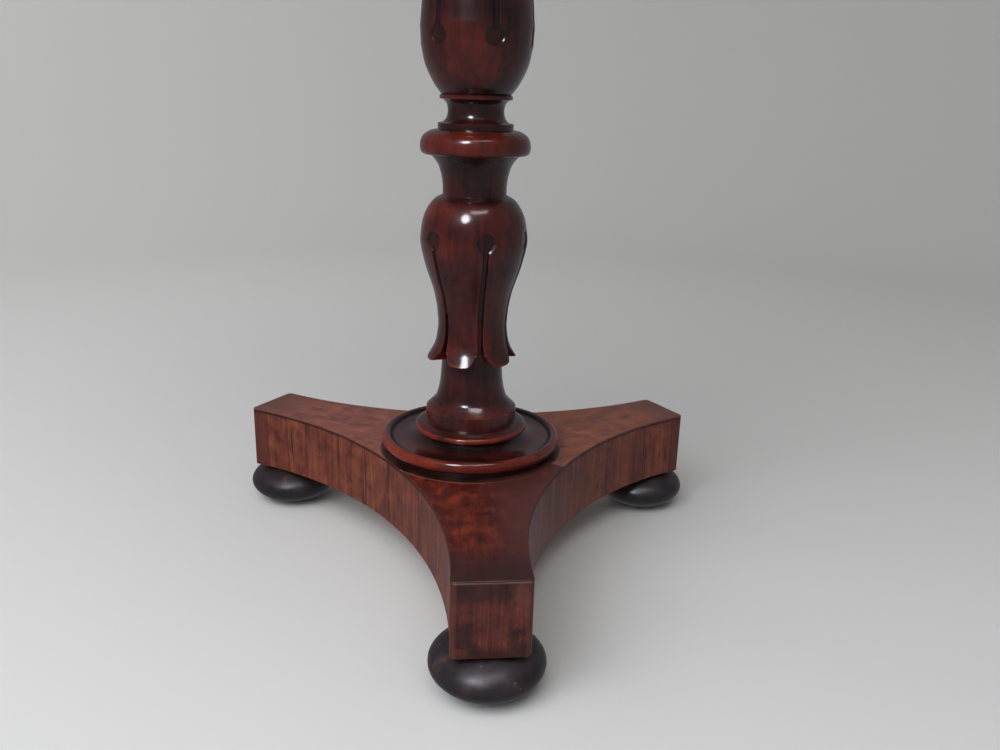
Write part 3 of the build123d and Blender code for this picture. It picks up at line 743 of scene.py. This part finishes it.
def endMarks(tree, turned, blotch, wood):
    # an arm's end face: rubbed strips at both sides, darker along the top and bottom, and a pale line along
    # its top edge, partly worn edge and partly painted highlight
    axes = addNode(tree, "ShaderNodeSeparateXYZ", None, {"Vector": turned})
    ragged = addNode(tree, "ShaderNodeMath", {"operation": "MULTIPLY_ADD"},
                     {0: blotch, 1: 34 * mm, 2: axes.outputs["Z"]})
    top = addNode(tree, "ShaderNodeMapRange", None, {"Value": ragged, "From Min": plinthTop + 2 * mm,
        "From Max": plinthTop + 8 * mm, "To Max": 0.75})
    bottom = addNode(tree, "ShaderNodeMapRange", None, {"Value": ragged, "From Min": plinthTop - 22 * mm,
        "From Max": plinthTop - 32 * mm, "To Max": 0.7})
    darkBand = addNode(tree, "ShaderNodeMath", {"operation": "MAXIMUM"}, {0: top, 1: bottom})
    wood = addNode(tree, "ShaderNodeMix", {"data_type": "RGBA"}, {"Factor": darkBand, "A": wood,
        "B": "#281616"})
    offCentre = addNode(tree, "ShaderNodeMath", {"operation": "ABSOLUTE"}, {0: axes.outputs["Y"]})
    strip = addNode(tree, "ShaderNodeMapRange", None, {"Value": offCentre, "From Min": 21.6 * mm,
        "From Max": 22.4 * mm, "To Max": 0.5})
    wood = addNode(tree, "ShaderNodeMix", {"data_type": "RGBA"}, {"Factor": strip, "A": wood,
        "B": "#5f2b20"})
    # a pale line along the top edge: worn edge and painted highlight
    edge = addNode(tree, "ShaderNodeMapRange", None, {"Value": axes.outputs["Z"],
        "From Min": plinthTop - 1.2 * mm, "From Max": plinthTop - 0.4 * mm, "To Max": 0.6})
    return addNode(tree, "ShaderNodeMix", {"data_type": "RGBA"}, {"Factor": edge, "A": wood,
        "B": "#8a685e"})


def frontEndMarks(tree, turned, blotch, wood):
    # the front arm's end is the most worn: rubbed bare by its top right corner, dirty low on the left
    wood = endMarks(tree, turned, blotch, wood)
    patches = [(19, plinthTop / mm - 9, 13, "#6c3a2c", 0.5), (-15, plinthTop / mm - 38, 15, "#2b1817", 0.7),
               (17, plinthTop / mm - 36, 9, "#241211", 0.7)]  # across and up in mm, radius, colour, strength
    for across, up, radius, color, strength in patches:
        moved = addNode(tree, "ShaderNodeMapping", None, {"Vector": turned, "Scale": (0, 1, 0.8),
            "Location": (0, -across * mm, -0.8 * up * mm)})
        off = addNode(tree, "ShaderNodeVectorMath", {"operation": "LENGTH"}, {0: moved}).outputs["Value"]
        ragged = addNode(tree, "ShaderNodeMath", {"operation": "MULTIPLY_ADD"}, {0: blotch, 1: 26 * mm,
            2: off})
        patch = addNode(tree, "ShaderNodeMapRange", None, {"Value": ragged, "From Min": (radius + 9) * mm,
            "From Max": (radius + 4) * mm, "To Max": strength})
        wood = addNode(tree, "ShaderNodeMix", {"data_type": "RGBA"}, {"Factor": patch, "A": wood,
            "B": color})
    return wood


def ebonisedWood():
    # ebonised turned wood: nearly black, satin, with rubbed brown patches and a few pale specks
    material, tree, shader = newMaterial("ebonised_turned_wood", {"IOR": 1.5, "Specular IOR Level": 0.5})
    place = addNode(tree, "ShaderNodeTexCoord").outputs["Object"]
    patch = addNode(tree, "ShaderNodeTexNoise", None, {"Vector": place, "Scale": 1 / (17 * mm),
        "Detail": 7.0, "Roughness": 0.66})
    wood = addNode(tree, "ShaderNodeValToRGB",
                   {"stops": [(0.36, "#1c181b"), (0.58, "#292124"), (0.7, "#452e29")]}, {"Fac": patch})
    specks = addNode(tree, "ShaderNodeTexVoronoi", None, {"Vector": place, "Scale": 1 / (7 * mm)})
    speck = addNode(tree, "ShaderNodeMapRange", None, {"Value": specks.outputs["Distance"],
        "From Min": 0.09, "From Max": 0.04, "To Max": 0.35})
    wood = addNode(tree, "ShaderNodeMix", {"data_type": "RGBA"}, {"Factor": speck, "A": wood,
        "B": "#a08f84"})
    rough = addNode(tree, "ShaderNodeMapRange", None, {"Value": patch, "From Min": 0.3, "From Max": 0.7,
        "To Min": 0.27, "To Max": 0.5})
    bump = addNode(tree, "ShaderNodeBump", None, {"Height": patch, "Strength": 0.3, "Distance": 0.9 * mm})
    tree.links.new(wood.outputs[2], shader.inputs["Base Color"])
    tree.links.new(rough.outputs[0], shader.inputs["Roughness"])
    tree.links.new(bump.outputs[0], shader.inputs["Normal"])
    return material


def plainWood(name, direction, light, dark):
    # planed and left bare: matt, with open grain along the piece
    material, tree, shader = newMaterial(name, {"Roughness": 0.7, "IOR": 1.5})
    place = addNode(tree, "ShaderNodeTexCoord").outputs["Object"]
    turned = addNode(tree, "ShaderNodeMapping", None, {"Vector": place, "Scale": (0.05, 1, 1),
        "Rotation": (0, 0, math.radians(-direction))})
    grain = addNode(tree, "ShaderNodeTexNoise", None, {"Vector": turned, "Scale": 1 / (5 * mm),
        "Detail": 6.0, "Roughness": 0.65})
    wood = addNode(tree, "ShaderNodeValToRGB", {"stops": [(0.35, dark), (0.65, light)]}, {"Fac": grain})
    bump = addNode(tree, "ShaderNodeBump", None, {"Height": grain, "Strength": 0.3, "Distance": 0.3 * mm})
    tree.links.new(wood.outputs[0], shader.inputs["Base Color"])
    tree.links.new(bump.outputs[0], shader.inputs["Normal"])
    return material


def agedMetal(name, code, tarnish, roughness):
    # old cast or drawn metal: dulled by handling, with darker tarnish in patches
    material, tree, shader = newMaterial(name, {"Metallic": 1.0})
    place = addNode(tree, "ShaderNodeTexCoord").outputs["Object"]
    scuffs = addNode(tree, "ShaderNodeTexNoise", None, {"Vector": place, "Scale": 1 / (3 * mm),
        "Detail": 5.0, "Roughness": 0.7})
    color = addNode(tree, "ShaderNodeValToRGB", {"stops": [(0.38, tarnish), (0.56, code)]}, {"Fac": scuffs})
    rough = addNode(tree, "ShaderNodeMapRange", None, {"Value": scuffs, "To Min": roughness + 0.15,
        "To Max": roughness - 0.12})
    tree.links.new(color.outputs[0], shader.inputs["Base Color"])
    tree.links.new(rough.outputs[0], shader.inputs["Roughness"])
    return material


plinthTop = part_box("side_veneer_left")[1].z
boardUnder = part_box("top_board_middle")[0].z
# the arms' tops: the left and right ones paler and greyer than the front's, partly the veneer's own tone and
# partly a painted sheen for the glancing light they catch
armTopToneAndSheen = {
    "front": [(0.37, "#2c0f0c"), (0.5, "#4e190f"), (0.65, "#792c18")],
    "left": [(0.34, "#4e2d27"), (0.5, "#7a463b"), (0.68, "#955b4a")],
    "right": [(0.34, "#4e2a23"), (0.5, "#7a4535"), (0.68, "#a05c3c")],
}
mahoganyStops = [(0.38, "#1a0909"), (0.5, "#341210"), (0.64, "#4c1812")]
mahogany = polishedMahogany("french_polished_mahogany", mahoganyStops, 0.15, (1, 1, 0.08))
collarMahogany = polishedMahogany("french_polished_flat_mahogany", mahoganyStops, 0.11, (0.12, 1, 0.6))
ebony = ebonisedWood()
brass = agedMetal("aged_cast_brass", "#b8954f", "#6e5527", 0.35)
steel = agedMetal("darkened_steel", "#77726c", "#3f3b38", 0.45)
for piece in (lowerColumn, upperColumn, dish, ring):
    paint(piece, collarMahogany if piece in (dish, ring) else mahogany)
    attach(piece, "base")
for foot in feet:
    paint(foot, ebony)
    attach(foot, "base")
sideStops = [(0.36, "#3a1811"), (0.5, "#652e1f"), (0.64, "#84462a")]
endStops = [(0.38, "#2f1410"), (0.52, "#5a261c"), (0.68, "#7a3826")]
sideVeneer = agedVeneer("crossbanded_mahogany_veneer", 0, sideStops, True, 0.48, 0.75, sideMarks)
for (kind, place), piece in veneers.items():
    if kind == "top":
        marks = frontArmMarks if place == "front" else collarMark
        paint(piece, agedVeneer("mahogany_veneer_on_arm_" + place, armDirection[place], armTopToneAndSheen[place],
                                False, 0.62, 0.25, marks))
    elif kind == "end":
        marks = frontEndMarks if place == "front" else endMarks
        paint(piece, agedVeneer("mahogany_veneer_on_end_" + place, armDirection[place], endStops,
                                True, 0.45, 0.3, marks))
    else:
        paint(piece, sideVeneer)
    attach(piece, "base")
paint(core, plainWood("bare_pine", 30, "#b08a5c", "#7d5a36"))
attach(core, "base")
hardwood = plainWood("planed_hardwood", 90, "#6e4227", "#3f2314")
boardTones = {"front": ("#6c2412", "#35110b", 0.0), "middle": ("#742a15", "#3b140c", 0.7),
              "rear": ("#682211", "#32100a", 1.9)}  # light, dark, and how far along the log
for place, piece in boards.items():
    paint(piece, figuredBoard("polished_mahogany_board_" + place, *boardTones[place]))
    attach(piece, "top")
paint(block, hardwood)
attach(block, "base")
for piece in bearers.values():
    paint(piece, hardwood)
    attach(piece, "top")
for node, piece in catch.items():
    paint(piece, brass)
    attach(piece, {"catch_body": "top", "catch_bolt": "bolt", "striker_plate": "base"}[node])
for node in ("catch_end_plate", "catch_screws", "catch_knob", "striker_screws"):
    paint(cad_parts[node], brass)
paint(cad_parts["bearer_screws"], steel)
spring = copyOfNode("catch_spring", "coil_spring")
paint(spring, steel)
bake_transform(spring)
for node in ("base_wedge", "top_wedge"):
    paint(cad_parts[node], hardwood)
print("materials done")

room = {"flat": 1500, "bend": 1500, "height": 2900}  # mm: a round paper sweep, open above
sweep = [(0.0, 0.0), (500.0, 0.0), (float(room["flat"]), 0.0)]
for k in range(1, 16):
    angle = math.radians(k * 6)
    sweep.append((room["flat"] + room["bend"] * math.sin(angle), room["bend"] * (1 - math.cos(angle))))
sweep.append((float(room["flat"] + room["bend"]), float(room["height"])))
floor = spunTurning("studio_paper_sweep", sweep, 96)
smoothByAngle(floor, 60)
floor.visible_glossy = False  # what the polish mirrors is the studio's own soft light
# matt coated paper: an even pale grey with no gloss to the eye
paper = newMaterial("matt_white_paper", {"Base Color": linearColor("#c6c6c4"), "Roughness": 0.8,
    "Specular IOR Level": 0.2})[0]
paint(floor, paper)

studio = {"front": 0.08, "back": 0.15, "left": 0.05, "right": 0.12, "below": 0.1, "tint": "#e2e0e8"}
world = bpy.data.worlds.new("studio")
bpy.context.scene.world = world
world.use_nodes = True
worldTree = world.node_tree
glow = worldTree.nodes["Background"]
towards = addNode(worldTree, "ShaderNodeSeparateXYZ", None,
                  {"Vector": addNode(worldTree, "ShaderNodeTexCoord").outputs["Generated"]})
depthwise = addNode(worldTree, "ShaderNodeMapRange", None, {"Value": towards.outputs["Y"], "From Min": -0.8,
                    "From Max": 0.9, "To Min": studio["front"], "To Max": studio["back"]})
sideways = addNode(worldTree, "ShaderNodeMapRange", None, {"Value": towards.outputs["X"], "From Min": -1.0,
                   "From Max": 0.6, "To Min": studio["left"], "To Max": studio["right"]})
downward = addNode(worldTree, "ShaderNodeMapRange", None, {"Value": towards.outputs["Z"], "From Min": 0.05,
                   "From Max": -0.35, "To Max": studio["below"]})
level = addNode(worldTree, "ShaderNodeMath", {"operation": "ADD"}, {0: depthwise, 1: sideways})
level = addNode(worldTree, "ShaderNodeMath", {"operation": "ADD"}, {0: level, 1: downward})
worldTree.links.new(level.outputs[0], glow.inputs["Strength"])
glow.inputs["Color"].default_value = linearColor(studio["tint"])


def softLight(name, size, power, direction, elevation, distance, aim, seen, tint):
    # seen: "glossy" for a light that only the polish mirrors, "diffuse" for one that only lights surfaces
    data = bpy.data.lights.new(name, "AREA")
    data.shape = "ELLIPSE"
    data.size, data.size_y = size
    data.energy = power
    data.color = linearColor(tint)[:3]
    lamp = bpy.data.objects.new(name, data)
    bpy.context.scene.collection.objects.link(lamp)
    a, e = math.radians(direction), math.radians(elevation)
    away = Vector((math.cos(a) * math.cos(e), math.sin(a) * math.cos(e), math.sin(e)))
    lamp.location = Vector(aim) + away * distance
    lamp.rotation_mode = "QUATERNION"
    lamp.rotation_quaternion = away.to_track_quat("Z", "Y")
    lamp.visible_camera = False
    lamp.visible_glossy = seen == "glossy"
    lamp.visible_diffuse = seen == "diffuse"
    return lamp


lamps = {  # size in metres, watts, direction and height in degrees, distance and aim in metres
    "key": ((0.46, 0.62), 20, -114, 38, 1.7, (0, 0, 0.28), "glossy", "#eef2ff"),
    "strip": ((1.0, 0.34), 7, -74, 58, 1.7, (0, 0, 0.28), "glossy", "#ffffff"),
    "front_fill": ((1.6, 1.3), 18, -128, 38, 1.8, (0, 0, 0.1), "diffuse", "#f4f6ff"),
    "left_fill": ((1.8, 1.4), 10, 206, 44, 1.9, (-0.2, 0, 0.1), "diffuse", "#ffffff"),
    "right_fill": ((1.8, 1.4), 6, -62, 60, 1.9, (0, 0, 0.1), "diffuse", "#ffffff"),
    "top_fill": ((2.4, 2.4), 29, -104, 66, 2.3, (-0.1, 0, 0.1), "diffuse", "#ffffff"),
    "wall_wash": ((1.6, 1.0), 18, -110, 25, 2.2, (-1.0, 2.9, 1.2), "diffuse", "#ffffff"),
}
for name, settings in lamps.items():
    softLight(name, *settings)

view = {"lens": 32.29, "yaw": 3.2604, "pitch": 17.5516, "roll": 1.5519, "place": (-0.0165, -0.6965, 0.3725)}
cameraData = bpy.data.cameras.new("camera")
cameraData.lens = view["lens"]
cameraData.sensor_width = 36
camera = bpy.data.objects.new("camera", cameraData)
bpy.context.scene.collection.objects.link(camera)
bpy.context.scene.camera = camera
yaw, pitch, roll = (math.radians(view[k]) for k in ("yaw", "pitch", "roll"))
ahead = Vector((math.sin(yaw) * math.cos(pitch), math.cos(yaw) * math.cos(pitch), -math.sin(pitch)))
across = Vector((math.cos(yaw), -math.sin(yaw), 0))
above = across.cross(ahead)
right = math.cos(roll) * across + math.sin(roll) * above
up = -math.sin(roll) * across + math.cos(roll) * above
turn = Matrix((right, up, -ahead)).transposed()
camera.matrix_world = Matrix.Translation(view["place"]) @ turn.to_4x4()
bpy.context.scene.view_settings.view_transform = "Standard"
print("room, light and camera done")
